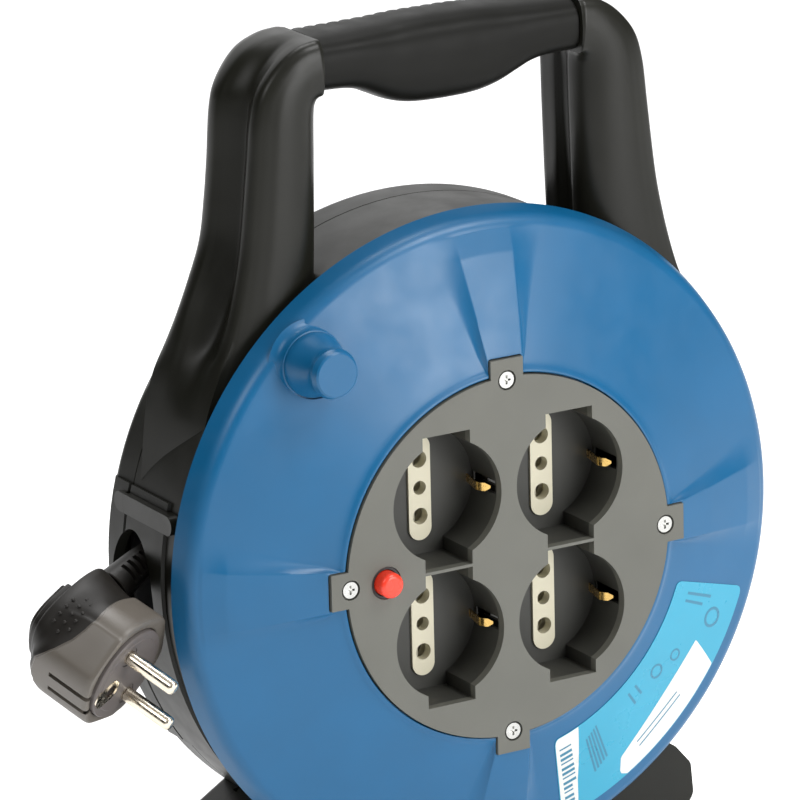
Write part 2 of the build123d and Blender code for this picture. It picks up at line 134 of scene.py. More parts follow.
def moulded_plastic(name, colour, roughness, grain, grain_depth, tone, specular):
    """Moulded plastic: spark-eroded grain, slow changes of tone and of gloss."""
    made, tree, shader = material(name, colour, roughness, specular=specular)
    slow = noise(tree, 35, 3)
    dark = tuple(c * (1 - tone) for c in colour)
    light = tuple(min(1, c * (1 + tone)) for c in colour)
    shade_of = ramp(tree, slow.outputs["Fac"], [(0.3, dark), (0.7, light)])
    tree.links.new(shade_of, shader.inputs["Base Color"])
    gloss = noise(tree, 90, 4)
    low, high = max(0.02, roughness - 0.05), min(1, roughness + 0.05)
    tree.links.new(ramp(tree, gloss.outputs["Fac"], [(0.3, low), (0.7, high)]), shader.inputs["Roughness"])
    fine = noise(tree, grain, 2)
    bump(tree, shader, fine.outputs["Fac"], 0.35, grain_depth)
    return made


def bare_metal(name, colour, roughness):
    """Stamped or drawn metal, with fine wear."""
    made, tree, shader = material(name, colour, roughness, metallic=1.0)
    wear = noise(tree, 600, 4, 0.7)
    low, high = max(0.05, roughness - 0.1), min(1, roughness + 0.15)
    tree.links.new(ramp(tree, wear.outputs["Fac"], [(0.35, low), (0.7, high)]), shader.inputs["Roughness"])
    tint = noise(tree, 180, 2)
    dark = tuple(c * 0.82 for c in colour)
    tone = ramp(tree, tint.outputs["Fac"], [(0.3, dark), (0.75, colour)])
    tree.links.new(tone, shader.inputs["Base Color"])
    bump(tree, shader, wear.outputs["Fac"], 0.15, 0.00002)
    return made


# Colour, roughness, scale of the grain, its depth, change of tone and specular level.
PLASTICS = {
    "housing_plastic": ((0.009, 0.009, 0.0065), 0.35, 1600, 0.00002, 0.12, 0.25),
    "grip_plastic": ((0.0055, 0.0055, 0.0045), 0.44, 1500, 0.00002, 0.12, 0.12),
    "disc_plastic": ((0.001, 0.089, 0.212), 0.36, 2600, 0.000012, 0.05, 0.46),
    "drum_plastic": ((0.012, 0.012, 0.012), 0.5, 2200, 0.00002, 0.12, 0.5),
    "plate_plastic": ((0.098, 0.098, 0.083), 0.5, 1800, 0.00003, 0.05, 0.5),
    # The socket cups are the plate's plastic; this darker copy is painted shade for the inside of the wells.
    "cup_painted_shade": ((0.034, 0.034, 0.029), 0.5, 1800, 0.00003, 0.12, 0.5),
    "insert_plastic": ((0.66, 0.62, 0.47), 0.42, 2000, 0.00001, 0.04, 0.5),
    "shutter_plastic": ((0.42, 0.40, 0.31), 0.45, 2000, 0.00001, 0.04, 0.5),
    "button_plastic": ((0.80, 0.045, 0.02), 0.25, 1200, 0.00001, 0.05, 0.5),
    "label_film": ((0.020, 0.285, 0.43), 0.3, 900, 0.000005, 0.03, 0.5),
    "label_white": ((0.62, 0.62, 0.59), 0.3, 900, 0.000005, 0.02, 0.5),
    "label_ink": ((0.02, 0.16, 0.26), 0.3, 900, 0.000005, 0.03, 0.5),
    "cable_sheath": ((0.010, 0.010, 0.010), 0.42, 1400, 0.00002, 0.12, 0.5),
    "plug_plastic": ((0.011, 0.0095, 0.008), 0.45, 1500, 0.00003, 0.12, 0.3),
    # Lighter copy of the plug's plastic for its front shell: painted sheen for the light on its facets, with some
    # of the shell's own greyer tone.
    "plug_front_painted_sheen": ((0.100, 0.088, 0.074), 0.38, 1500, 0.00003, 0.12, 0.5),
    "plug_face_plastic": ((0.085, 0.073, 0.068), 0.5, 1500, 0.00003, 0.12, 0.5),
}

# Colour and roughness.
METALS = {
    "zinc_screw": ((0.55, 0.55, 0.53), 0.25),
    "spring_steel": ((0.5, 0.5, 0.5), 0.35),
    "contact_brass": ((0.72, 0.47, 0.15), 0.25),
    "nickel_pin": ((0.86, 0.78, 0.64), 0.2),
}


def make_materials():
    made = {name: moulded_plastic(name, *look) for name, look in PLASTICS.items()}
    made.update({name: bare_metal(name, *look) for name, look in METALS.items()})
    return made


def dress_cad():
    for part in frame["record"]["subparts"]:
        node = frame["nodes"][part["node"]]
        # The cups get the darker copy of the plate's plastic, which is painted shade for the wells.
        look = "cup_painted_shade" if part["node"].startswith("socket_cup") else part["material_slot"]
        node.data.materials.clear()
        node.data.materials.append(materials[look])


# Mesh helpers

def through(points, per_span, closed=False):
    """Smooth curve through points, with the same number of steps in each span."""
    points = np.asarray(points, float)
    if closed:
        held = np.vstack([points[-1:], points, points[:2]])
    else:
        held = np.vstack([2 * points[0] - points[1], points, 2 * points[-1] - points[-2]])
    t = np.linspace(0, 1, per_span, endpoint=False)[:, None]
    spans = []
    for a, b, c, d in zip(held, held[1:], held[2:], held[3:]):
        square = (2 * a - 5 * b + 4 * c - d) * t ** 2
        cube = (3 * b - a - 3 * c + d) * t ** 3
        spans.append((2 * b + (c - a) * t + square + cube) / 2)
    if not closed:
        spans.append(points[-1:])
    return np.vstack(spans)


def evenly(line, count):
    """The same curve, with its points spaced evenly along its length."""
    steps = np.linalg.norm(np.diff(line, axis=0), axis=1)
    run = np.concatenate([[0], np.cumsum(steps)])
    want = np.linspace(0, run[-1], count)
    return np.column_stack([np.interp(want, run, axis) for axis in line.T])


def smooth_step(value, low, high):
    t = np.clip((value - low) / (high - low), 0, 1)
    return t * t * (3 - 2 * t)


def quads(rows, columns, wrap_rows=False):
    """Faces of a grid whose columns close on themselves."""
    faces = []
    for i in range(rows if wrap_rows else rows - 1):
        for j in range(columns):
            k, n = (j + 1) % columns, (i + 1) % rows
            faces.append((i * columns + j, i * columns + k, n * columns + k, n * columns + j))
    return faces


def shade(mesh, sharp):
    work = bmesh.new()
    work.from_mesh(mesh)
    bmesh.ops.recalc_face_normals(work, faces=work.faces)
    work.to_mesh(mesh)
    work.free()
    mesh.shade_smooth()
    mesh.set_sharp_from_angle(angle=math.radians(sharp))


def solid(name, rows, wrap=False):
    """Closed mesh from rows of row-frame points: capped at both ends, or wrapped round."""
    rows = np.asarray(rows, float)
    count, columns, _ = rows.shape
    faces = quads(count, columns, wrap)
    if not wrap:
        faces.append(tuple(reversed(range(columns))))
        faces.append(tuple((count - 1) * columns + j for j in range(columns)))
    mesh = bpy.data.meshes.new(name)
    mesh.from_pydata(rows.reshape(-1, 3).tolist(), [], faces)
    shade(mesh, 35)
    made = bpy.data.objects.new(name, mesh)
    bpy.context.scene.collection.objects.link(made)
    return made


def prism(name, outline, front, back):
    """Closed block from an outline of (x, z) points, from one depth to another."""
    return solid(name, [[at(x, depth, z) for x, z in outline] for depth in (front, back)])


def carve(made, cutters, sharp=35):
    """Cuts closed blocks out of an object, and removes the blocks."""
    for cutter in cutters:
        cut = made.modifiers.new("cut", "BOOLEAN")
        cut.operation = "DIFFERENCE"
        cut.solver = "EXACT"
        cut.object = cutter
    bpy.context.view_layer.update()
    graph = bpy.context.evaluated_depsgraph_get()
    mesh = bpy.data.meshes.new_from_object(made.evaluated_get(graph))
    made.modifiers.clear()
    made.data = mesh
    for cutter in cutters:
        bpy.data.objects.remove(cutter)
    shade(mesh, sharp)


def adopt(made, body, slot, look=None):
    """Puts a finished piece on a body, with the material named by look, else by the record's slot."""
    made.data.materials.clear()
    made.data.materials.append(materials[look or slot])
    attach(made, body)
    return made


def disc_outline(x, z, radius, count=48):
    turns = [2 * math.pi * k / count for k in range(count)]
    return [(x + radius * math.cos(t), z + radius * math.sin(t)) for t in turns]


# Cable: a coil on the drum, and the short stretch from it to the plug

CABLE = 7.0
CORE_SLOT = (27.0, 55.0, 58.0)
TAIL = [
    (-79.6, 59.2, 42.3), (-84.6, 59.6, 30.5), (-88.8, 57.6, 18.2), (-96.8, 54.4, 8.4),
    (-108.44, 50.93, 3.46),
]
RELIEF_BASE = (-118.2, 48.0, -0.7)
# Steps of the first turn that the stretch from the slot in the core replaces.
LEAD_IN = 3


def curve(name, points, radius):
    data = bpy.data.curves.new(name, "CURVE")
    data.dimensions = "3D"
    data.bevel_depth = radius * MM
    data.bevel_resolution = 5
    data.resolution_u = 4
    data.use_fill_caps = True
    line = data.splines.new("NURBS")
    line.points.add(len(points) - 1)
    for point, place in zip(line.points, points):
        point.co = (*at(*place), 1)
    line.order_u = 3
    line.use_endpoint_u = True
    made = bpy.data.objects.new(name, data)
    bpy.context.scene.collection.objects.link(made)
    return made


def ring_places():
    """Radius and depth of each turn, from the slot in the core outwards."""
    depths = [62.2 - CABLE * k for k in range(7)]
    rings = [(67.8, depth) for depth in depths]
    rings += [(74.7, depth) for depth in reversed(depths)]
    rings += [(81.6, depth) for depth in depths]
    return rings


def winding_points():
    """Turns lie side by side and step over in the last part of each; the outer end crosses to the back."""
    start, end, per_turn, step_from = 65.0, 152.0, 36, 0.86
    back_radius, back_depth = 90.1, 59.2
    rings = ring_places()
    points = [CORE_SLOT]
    for index, (radius, depth) in enumerate(rings):
        next_radius, next_depth = rings[min(index + 1, len(rings) - 1)]
        for k in range(per_turn):
            part = k / per_turn
            if index == 0 and k < LEAD_IN:
                continue
            shift = smooth_step(part, step_from, 1.0)
            angle = math.radians(start + 360 * part)
            r = radius + (next_radius - radius) * shift
            d = depth + (next_depth - depth) * shift
            points.append((r * math.cos(angle), d, r * math.sin(angle)))
    radius, depth = rings[-1]
    for k in range(per_turn // 3):
        part = k / (per_turn // 3)
        angle = math.radians(start + (end - start) * part)
        r = radius + (back_radius - radius) * smooth_step(part, 0, 0.45)
        d = depth + (back_depth - depth) * smooth_step(part, 0.12, 1.0)
        points.append((r * math.cos(angle), d, r * math.sin(angle)))
    points.append(TAIL[0])
    return points


def length_of(points):
    places = np.array([at(*p) for p in points])
    return float(np.linalg.norm(np.diff(places, axis=0), axis=1).sum())


def make_cables():
    points = winding_points()
    winding = curve("cable_coil", points, CABLE / 2)
    adopt(winding, "drum", "cable_sheath")
    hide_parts("cable_winding")
    route = evenly(through(TAIL, 12), 22)
    tail = curve("cable_lead", route, CABLE / 2)
    adopt(tail, "housing", "cable_sheath")
    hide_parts("cable_tail")
    return tail, length_of(route)


# Plug, in its own directions: a along the cord, e out along the pins, b across

PINS_WAY = Vector((0.423, -0.797, -0.430)).normalized()
CORD_WAY = Vector((0.887, 0.266, 0.378)).normalized()
ACROSS = PINS_WAY.cross(CORD_WAY).normalized()
FACE = Vector(RELIEF_BASE) - CORD_WAY * 23.5 + PINS_WAY * 25.3
# Row of plug_rows where the rear panel starts, and how far it stands back from the front shell.
REAR_ROW = 15
REAR_STEP = 0.95
RECESS = 16.2
PIN_OFF, EARTH_HOLE = 9.5, -8.2
RELIEF_LENGTH = 25.0


def on_plug(a, b, e):
    return at(*(FACE + CORD_WAY * a + PINS_WAY * e + ACROSS * b))


def polar(points, turns):
    """Radii at the given angles of a closed outline given as (a, b) points."""
    line = through(points, 8, closed=True)
    angles = np.unwrap(np.arctan2(line[:, 1], line[:, 0]))
    order = np.argsort(angles % (2 * np.pi))
    radii = np.hypot(line[:, 0], line[:, 1])[order]
    return np.interp(turns, angles[order] % (2 * np.pi), radii, period=2 * np.pi)


def plug_rows():
    turns = np.linspace(0, 2 * np.pi, 180, endpoint=False)
    degrees = np.degrees(turns)
    off = np.abs((degrees + 180) % 360 - 180)
    front = polar([
        (20.6, 3.0), (19.6, 9.2), (14.2, 14.6), (7.6, 18.8), (3.0, 20.2), (-1.2, 20.2), (-5.2, 18.6),
        (-13.5, 13.2), (-16.4, 10.6), (-17.9, 7.0), (-18.3, 0), (-17.9, -7.0), (-16.4, -10.6),
        (-13.5, -13.2), (-5.2, -18.6), (-1.2, -20.2), (3.0, -20.2), (7.6, -18.8), (14.2, -14.6),
        (19.6, -9.2), (20.6, -3.0),
    ], turns)
    rear = polar([
        (22.5, 5), (19.8, 10.5), (13.5, 13.4), (6, 14.4), (-3, 14.0), (-9.5, 11.0), (-12.4, 5),
        (-12.4, -5), (-9.5, -11.0), (-3, -14.0), (6, -14.4), (13.5, -13.4), (19.8, -10.5), (22.5, -5),
    ], turns)
    # The rear panel starts at this height, lower towards the side away from the cord.
    step = np.interp(
        off, [0, 60, 96, 110, 124, 140, 150, 162, 180], [-13.5, -13, -12, -13, -14.5, -17.5, -20, -23, -24],
    )
    facet = 0.45 * smooth_step(off, 97, 99.5)
    front = front + facet - 0.22
    recess = np.full_like(turns, RECESS)
    rows = [
        (recess * 0.98, -3.2), (recess, -3.1), (recess, -1.9), (recess + 0.25, -1.45), (recess + 0.9, -1.2),
        (front - 1.0, -1.15), (front - 0.35, -1.5), (front - 0.05, -2.3), (front, -3.5),
        (front, -3.5 + (step + 5.0) * 0.35), (front - 0.05, -3.5 + (step + 5.0) * 0.7),
        (front - 0.1, step + 1.0), (front - 0.15, step + 0.25), (front - 0.45, step),
        (front - 0.85, step - 0.15), (front - REAR_STEP, step - 0.7),
    ]
    lower = front - REAR_STEP
    for share in (0.15, 0.32, 0.5, 0.68, 0.84, 1.0):
        blend = smooth_step(share, 0, 1)
        height = step - 0.7 + (-28.4 - step + 0.7) * share
        rows.append((lower + (rear - lower) * blend, height))
    plate = np.minimum(rear - 2.2, 7.5 / np.maximum(np.cos(turns), 0.01))
    rows += [
        (rear - 0.35, -29.0), (rear - 1.1, -29.4), (rear - 1.9, -29.5), (plate + 0.3, -29.55),
        (plate + 0.1, -29.8), (plate, -31.2), (plate - 0.3, -31.5), (plate - 1.1, -31.6),
        (plate - 1.3, -31.9), (plate - 1.4, -32.5), (plate - 1.8, -32.9), (plate - 2.6, -33.0),
    ]
    ready = []
    for radii, height in rows:
        height = np.broadcast_to(height, turns.shape)
        ready.append([on_plug(r * math.cos(t), r * math.sin(t), e) for r, t, e in zip(radii, turns, height)])
    return ready


def slot_cut(name, start, end, width, depth_in):
    """Thin block across a line on the plug, for a moulded groove; start and end are (a, b, e) points."""
    a, b = Vector(start), Vector(end)
    along = (b - a).normalized()
    outward = Vector((a.x, a.y, 0)).normalized()
    side = along.cross(outward).normalized()
    rows = []
    for end_point in (a, b):
        ring = []
        for s, o in ((-1, -1), (1, -1), (1, 1), (-1, 1)):
            ring.append(on_plug(*(end_point + side * s * width / 2 + outward * o * depth_in)))
        rows.append(ring)
    return solid(name, rows)


def ball(name, centre, radius, flat_way, flatness):
    """Small rounded stud, flattened along one direction."""
    mesh = bpy.data.meshes.new(name)
    work = bmesh.new()
    bmesh.ops.create_uvsphere(work, u_segments=16, v_segments=10, radius=radius * MM)
    turn = flat_way.to_track_quat("Z", "Y").to_matrix().to_4x4()
    squash = Matrix.Diagonal((1, 1, flatness, 1))
    bmesh.ops.transform(work, matrix=Matrix.Translation(centre) @ turn @ squash, verts=work.verts)
    work.to_mesh(mesh)
    work.free()
    mesh.shade_smooth()
    made = bpy.data.objects.new(name, mesh)
    bpy.context.scene.collection.objects.link(made)
    return made


def join(name, pieces):
    """One object from several."""
    first = pieces[0]
    work = bmesh.new()
    for piece in pieces:
        work.from_mesh(piece.data)
    mesh = bpy.data.meshes.new(name)
    work.to_mesh(mesh)
    work.free()
    for piece in pieces[1:]:
        bpy.data.objects.remove(piece)
    first.name = name
    first.data = mesh
    mesh.shade_smooth()
    mesh.set_sharp_from_angle(angle=math.radians(35))
    return first


def grip_studs():
    """Rows of low studs on both sides of the rear panel."""
    rows = [
        (-24.6, 15.6, (84, 96, 108, 119)), (-20.9, 17.0, (77, 90, 102, 114, 126)),
        (-17.9, 18.0, (83, 96, 107, 118)),
    ]
    studs = []
    for height, r, turns in rows:
        for turn in turns:
            for side in (1, -1):
                angle = math.radians(turn * side)
                outward = CORD_WAY * math.cos(angle) + ACROSS * math.sin(angle)
                centre = on_plug(r * math.cos(angle), r * math.sin(angle), height)
                studs.append(ball("stud", centre, 0.62, outward, 0.5))
    return join("plug_studs", studs)


def relief_rows(path, base_radius, tip_radius):
    """Tapered sleeve along a path, with slots on two sides like those that let the real sleeve bend; the mesh
    itself stays rigid.
    """
    count, columns = 170, 72
    line = evenly(path, count)
    steps = np.linalg.norm(np.diff(line, axis=0), axis=1)
    run = np.concatenate([[0], np.cumsum(steps)])
    turns = np.linspace(0, 2 * np.pi, columns, endpoint=False)
    rows = []
    for index, here in enumerate(line):
        ahead = line[min(index + 1, count - 1)] - line[max(index - 1, 0)]
        way = Vector(ahead).normalized()
        side = (ACROSS - way * ACROSS.dot(way)).normalized()
        other = way.cross(side)
        s = run[index]
        radius = base_radius + (tip_radius - base_radius) * (s / run[-1]) ** 0.8
        radius = radius + 0.9 * (1 - smooth_step(s, 0, 1.2))
        row = []
        for turn in turns:
            r = radius
            for k in range(5):
                for aim in (0.5, 0.5 + np.pi):
                    gap = abs((turn - aim + np.pi) % (2 * np.pi) - np.pi)
                    inside = 1 - smooth_step(abs(s - 6.4 - 2.8 * k), 0.45, 0.7)
                    r -= 1.7 * inside * (1 - smooth_step(gap, 0.52, 0.68))
            if s > run[-1] - 0.6:
                r -= 0.6 * ((s - run[-1] + 0.6) / 0.6) ** 2
            row.append(at(*(Vector(here) + side * r * math.cos(turn) + other * r * math.sin(turn))))
        rows.append(row)
    return rows


def plug_block(name, outline, low, high):
    """Block on the plug's face from an (a, b) outline."""
    return solid(name, [[on_plug(a, b, e) for a, b in outline] for e in (low, high)])


def make_contacts():
    """Earth clip: a strip in each side slot, and a plate round the earth hole in the face."""
    pieces = []
    section = ((-1.9, 0), (1.9, 0), (1.9, -0.5), (-1.9, -0.5))
    for side in (1, -1):
        rows = []
        for a, e in ((15.6, -11.0), (16.1, -6.0), (16.0, -2.4), (15.2, -0.6), (13.0, -0.4)):
            rows.append([on_plug(side * (a + t), b, e) for b, t in section])
        pieces.append(solid("contact_strip", rows))
    # The plate's outer part is drawn out towards the strip.
    outline = [(a if a > -10 else a - 3.0, b) for a, b in disc_outline(-8.6, 0, 4.1, 40)]
    plate = plug_block("contact_plate", outline, -0.3, 0.45)
    carve(plate, [plug_block("cut_hole", disc_outline(EARTH_HOLE, 0, 2.4, 32), -2, 2)])
    pieces.append(plate)
    return join("plug_contacts", pieces)


def make_face():
    """Front disc of the plug, with holes for the pins and the earth pin and two shallow steps."""
    rows = []
    for radius, e in (
        (15.8, -3.1), (16.1, -2.9), (16.1, -0.5), (15.75, -0.1), (15.3, 0.0), (13.6, 0.0), (13.3, 0.25),
        (11.5, 0.3),
    ):
        rows.append([on_plug(a, b, e) for a, b in disc_outline(0, 0, radius, 96)])
    face = solid("plug_face", rows)
    cuts = [plug_block("cut_earth", disc_outline(EARTH_HOLE, 0, 2.5, 32), -2.8, 2)]
    for side in (-1, 1):
        cuts.append(plug_block("cut_pin", disc_outline(0, PIN_OFF * side, 2.42, 32), -6, 2))
        cuts.append(plug_block("cut_step", disc_outline(0, PIN_OFF * side, 3.6, 32), 0.05, 2))
    carve(face, cuts, 30)
    adopt(face, "housing", "plug_face_plastic")
    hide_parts("plug_insert")
    return face


def relief_path():
    """Line of the strain relief: from inside the plug, along the cable."""
    path = through([RELIEF_BASE, *reversed(TAIL[1:])], 14)
    start = Vector(RELIEF_BASE) - CORD_WAY * 1.5
    path = np.vstack([[tuple(start)], path])
    steps = np.linalg.norm(np.diff(path, axis=0), axis=1)
    run = np.concatenate([[0], np.cumsum(steps)])
    return path[run < RELIEF_LENGTH]


def make_plug():
    rows = plug_rows()
    shell = solid("plug_shell", rows[:REAR_ROW + 1])
    rear = adopt(solid("plug_rear", rows[REAR_ROW:]), "housing", "plug_plastic")
    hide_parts("plug_body")
    cuts = []
    for side in (1, -1):
        cuts.append(slot_cut("cut_groove", (-17.4, 3.3 * side, -16.8), (-17.4, 3.3 * side, 1.5), 1.9, 2.4))
        cuts.append(slot_cut("cut_mark", (-17.0, 3.1 * side, -2.2), (-13.6, 10.2 * side, -2.2), 1.2, 1.6))
    carve(shell, cuts, 32)
    # The front shell takes the lighter copy of the plug's plastic, which paints the sheen on its facets.
    adopt(shell, "housing", "plug_plastic", "plug_front_painted_sheen")
    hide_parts("plug_body")
    studs = adopt(grip_studs(), "housing", "plug_plastic")
    contacts = adopt(make_contacts(), "housing", "nickel_pin")
    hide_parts("plug_earth_contacts")
    face = make_face()
    relief = solid("plug_relief", relief_rows(relief_path(), 6.5, 4.4))
    adopt(relief, "housing", "plug_plastic")
    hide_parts("strain_relief")


# Front disc

TAB_TURNS = (0, 90, 180, 270)
KNOB_X, KNOB_Z = -64.0, 72.5
# Radius of the hole in the disc for the knob's base, and the depth it is cut to.
KNOB_HOLE, KNOB_HOLE_DEPTH = 10.95, 11.25


def field(radius):
    """Depth of the disc's sloping front."""
    return 3.0 + (radius - 66.8) * 12.0 / 41.2


def disc_front(radii, turn):
    """Depths of the disc's front at some radii, at a turn clockwise from the top in degrees."""
    lip = np.interp(radii, [61.0, 61.4, 62.0, 62.7, 63.5, 64.5], [0.8, 0.88, 1.2, 1.66, 2.0, 2.33])
    depth = np.where(radii < 64.5, lip, field(radii))
    # A raised ray runs outwards from each tab, and its flanks spread and sink towards the rim.
    off = abs((turn + 45) % 90 - 45)
    start = 5.7
    end = np.interp(radii, [64, 68, 104], [6.6, 7.6, 12.4])
    fall = np.clip((off - start) / (end - start), 0, 1)
    height = np.interp(
        radii, [61.0, 64.0, 67.0, 80, 98, 105.5, 106.5], [0.0, 1.2, 1.9, 2.0, 1.5, 0.2, 0.0],
    )
    return depth - height * (1 - fall) ** 1.9


def disc_rows():
    front_radii = np.concatenate([
        [61.0, 61.2, 61.4, 61.7, 62.0, 62.35, 62.7, 63.1, 63.5, 64.0], np.arange(64.5, 105.4, 0.6),
    ])
    inner = [(57.8, 6.2), (57.8, 3.2), (60.3, 3.2), (60.6, 2.9), (60.6, 1.15), (60.7, 0.92), (60.95, 0.8)]
    # Soft shoulder between the slope and the flank.
    start, corner, end = (np.array(p) for p in ((105.4, field(105.4)), (108.3, 15.09), (109.5, 18.9)))
    rim = []
    for t in np.linspace(0.05, 1, 9):
        rim.append(tuple(start * (1 - t) ** 2 + 2 * corner * t * (1 - t) + end * t ** 2))
    rim += [
        (110.7, 22.6), (110.85, 23.15), (110.6, 23.4), (108.7, 23.4), (108.45, 23.2),
        (106.3, 18.0), (105.3, 17.0), (86, 11.5), (66, 6.2),
    ]
    rows = []
    for turn in np.arange(0, 360, 0.25):
        section = inner + list(zip(front_radii, disc_front(front_radii, turn))) + rim
        sine, cosine = math.sin(math.radians(turn)), math.cos(math.radians(turn))
        rows.append([at(r * sine, d, r * cosine) for r, d in section])
    return rows


def turned(points, degrees):
    c, s = math.cos(math.radians(degrees)), math.sin(math.radians(degrees))
    return [(x * c + z * s, -x * s + z * c) for x, z in points]


def tab_notch():
    """Outline of the cut that takes one tab of the socket plate, with rounded corners."""
    half, top, corner = 6.3, 66.5, 1.0
    points = [(half, 57.0)]
    for k in range(7):
        t = math.radians(90 * k / 6)
        points.append((half - corner + corner * math.cos(t), top - corner + corner * math.sin(t)))
    return points + [(-x, z) for x, z in reversed(points)]


def make_disc():
    disc = solid("reel_disc", disc_rows(), wrap=True)
    cuts = [prism("cut_notch", turned(tab_notch(), turn), -4, 3.2) for turn in TAB_TURNS]
    cuts.append(prism("cut_seat", disc_outline(KNOB_X, KNOB_Z, KNOB_HOLE, 96), -5, KNOB_HOLE_DEPTH))
    carve(disc, cuts, 28)
    # Boss that carries the knob where the slope has fallen away under it.
    seat = []
    for radius, depth in (
        (10.3, 11.28), (10.72, 11.3), (10.92, 11.45), (11.0, 12.2), (11.25, 13.2), (11.75, 14.1),
        (12.6, 14.9), (13.8, 15.5),
    ):
        seat.append([at(x, depth, z) for x, z in disc_outline(KNOB_X, KNOB_Z, radius, 96)])
    for made in (disc, solid("knob_seat", seat)):
        adopt(made, "drum", "disc_plastic")
        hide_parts("front_disc")


# Handle and grip

# The leg's section is (x, depth) at mid height. TOP, the section beside the grip, is (share of the way
# from the inner to the outer edge, depth). The three edges are (x, z) from the casing up to the grip.
LEG_INNER, LEG_FRONT_WIDTH, LEG_REAR_WIDTH, LEG_GROOVE = 50.5, 25.1, 26.3, 44
LEG = [
    (50.5, 37.6), (50.9, 34.0), (52.9, 30.4), (56.6, 27.7), (61.6, 26.4), (66.8, 26.4), (70.2, 27.3),
    (72.6, 28.2), (74.4, 29.2), (75.4, 30.9), (75.3, 33.4), (73.6, 36.4), (72.6, 39.2), (73.1, 42.8),
    (75.0, 45.6), (76.7, 48.6), (76.4, 53.2), (74.0, 56.9), (70.0, 58.0), (62.0, 58.0), (54.0, 58.0),
    (51.4, 56.6), (50.5, 54.0), (50.6, 48.0), (51.4, 46.2), (52.4, 44.4), (52.4, 42.0), (51.2, 39.8),
]
TOP = [
    (0.0, 34.6), (0.0, 31.0), (0.05, 28.6), (0.2, 27.4), (0.45, 27.0), (0.65, 27.2), (0.8, 27.6),
    (0.9, 28.3), (0.97, 29.4), (1.0, 30.8), (1.0, 33.0), (1.0, 35.6), (1.0, 38.6), (1.0, 42.4),
    (1.0, 45.0), (1.0, 48.0), (1.0, 53.0), (0.94, 56.8), (0.8, 58.0), (0.5, 58.0), (0.2, 58.0),
    (0.06, 56.8), (0.0, 54.0), (0.0, 46.6), (0.0, 45.2), (0.0, 43.4), (0.0, 40.0), (0.0, 36.4),
]
FRONT_EDGE = [
    (95.0, 30), (94.0, 46), (91.6, 57), (87.2, 69), (84.0, 77), (79.3, 96), (76.9, 108), (75.2, 121),
    (73.7, 134), (72.1, 147.4), (69.0, 157.2), (62.4, 165.0), (55.2, 169.4), (47.6, 170.9),
]
REAR_EDGE = [
    (102.9, 30), (101.2, 46), (99.6, 57), (97.6, 65.7), (93.6, 74.8), (85.5, 93.3), (80.8, 105.8),
    (78.6, 119), (77.1, 132), (75.6, 148.4), (72.6, 157.4), (65.4, 166.0), (56.6, 169.9), (47.6, 170.9),
]
INNER_EDGE = [
    (52.5, 30), (51.8, 46), (51.4, 57), (50.8, 69), (50.4, 77), (49.6, 96), (49.2, 108), (48.9, 121),
    (48.6, 134), (48.4, 147.0), (48.3, 150.6), (48.1, 151.8), (47.9, 152.3), (47.6, 152.6),
]


def handle_rows(side):
    front, rear, inner = (through(edge, 14) for edge in (FRONT_EDGE, REAR_EDGE, INNER_EDGE))
    leg = []
    for x, depth in LEG:
        leg.append(((x - LEG_INNER) / (LEG_FRONT_WIDTH if depth < LEG_GROOVE else LEG_REAR_WIDTH), depth))
    leg, top = through(leg, 6, closed=True), through(TOP, 6, closed=True)
    leg[:, 0] = np.clip(leg[:, 0], 0, 1.02)
    top[:, 0] = np.clip(top[:, 0], 0, 1)
    rows = []
    last = len(front) - 1
    for index in range(last + 1):
        share = smooth_step(index / last, 0.66, 0.97)
        section = leg + (top - leg) * share
        # The end beside the grip is drawn in a little, which leaves a fine joint.
        tuck = 0.45 * smooth_step(index, last - 3, last)
        # Low down, the groove fades and the front and rear lobes merge into one flank.
        low = 1 - smooth_step(rear[index][1], 52, 92)
        row = []
        for u, depth in section:
            rearward = smooth_step(depth, 38, 46)
            rearward += (np.clip((depth - 27) / 29, 0, 1) - rearward) * low
            if u > 0.8 and 29 < depth < 56:
                u += (1 - u) * low
            outer = front[index] + (rear[index] - front[index]) * rearward
            x, z = inner[index] + (outer - inner[index]) * (u + tuck / 18 * (1 - 2 * u))
            row.append(at(side * x, depth + tuck * (1 if depth < 43 else -1), z))
        rows.append(row)
    return rows


def make_handle():
    for side, name in ((-1, "handle_left"), (1, "handle_right")):
        leg = solid(name, handle_rows(side))
        casing = prism("cut_casing", disc_outline(0, 0, 107.05, 360), -5, 110)
        wells = [casing]
        for x, z in ((67.0, 88.9), (61.0, 130.0)):
            wells.append(prism("cut_screw", disc_outline(side * x, z, 3.4, 32), 53.0, 70))
        carve(leg, wells, 32)
        adopt(leg, "housing", "housing_plastic")
        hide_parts("handle_front", "handle_rear")


# The grip's underside and top, as (distance from the middle, z).
GRIP_UNDER = [
    (0, 143.3), (8, 143.5), (14, 144.2), (20, 145.9), (26, 148.6), (31, 150.8), (36, 151.9), (42, 152.3),
    (47.9, 152.4),
]
GRIP_TOP = [
    (0, 171.6), (8, 171.6), (14, 171.4), (20, 171.0), (26, 170.8), (31, 170.6), (36, 170.5), (42, 170.4),
    (47.9, 170.4),
]
GRIP_END, SCALLOP_PITCH = 47.7, 4.2


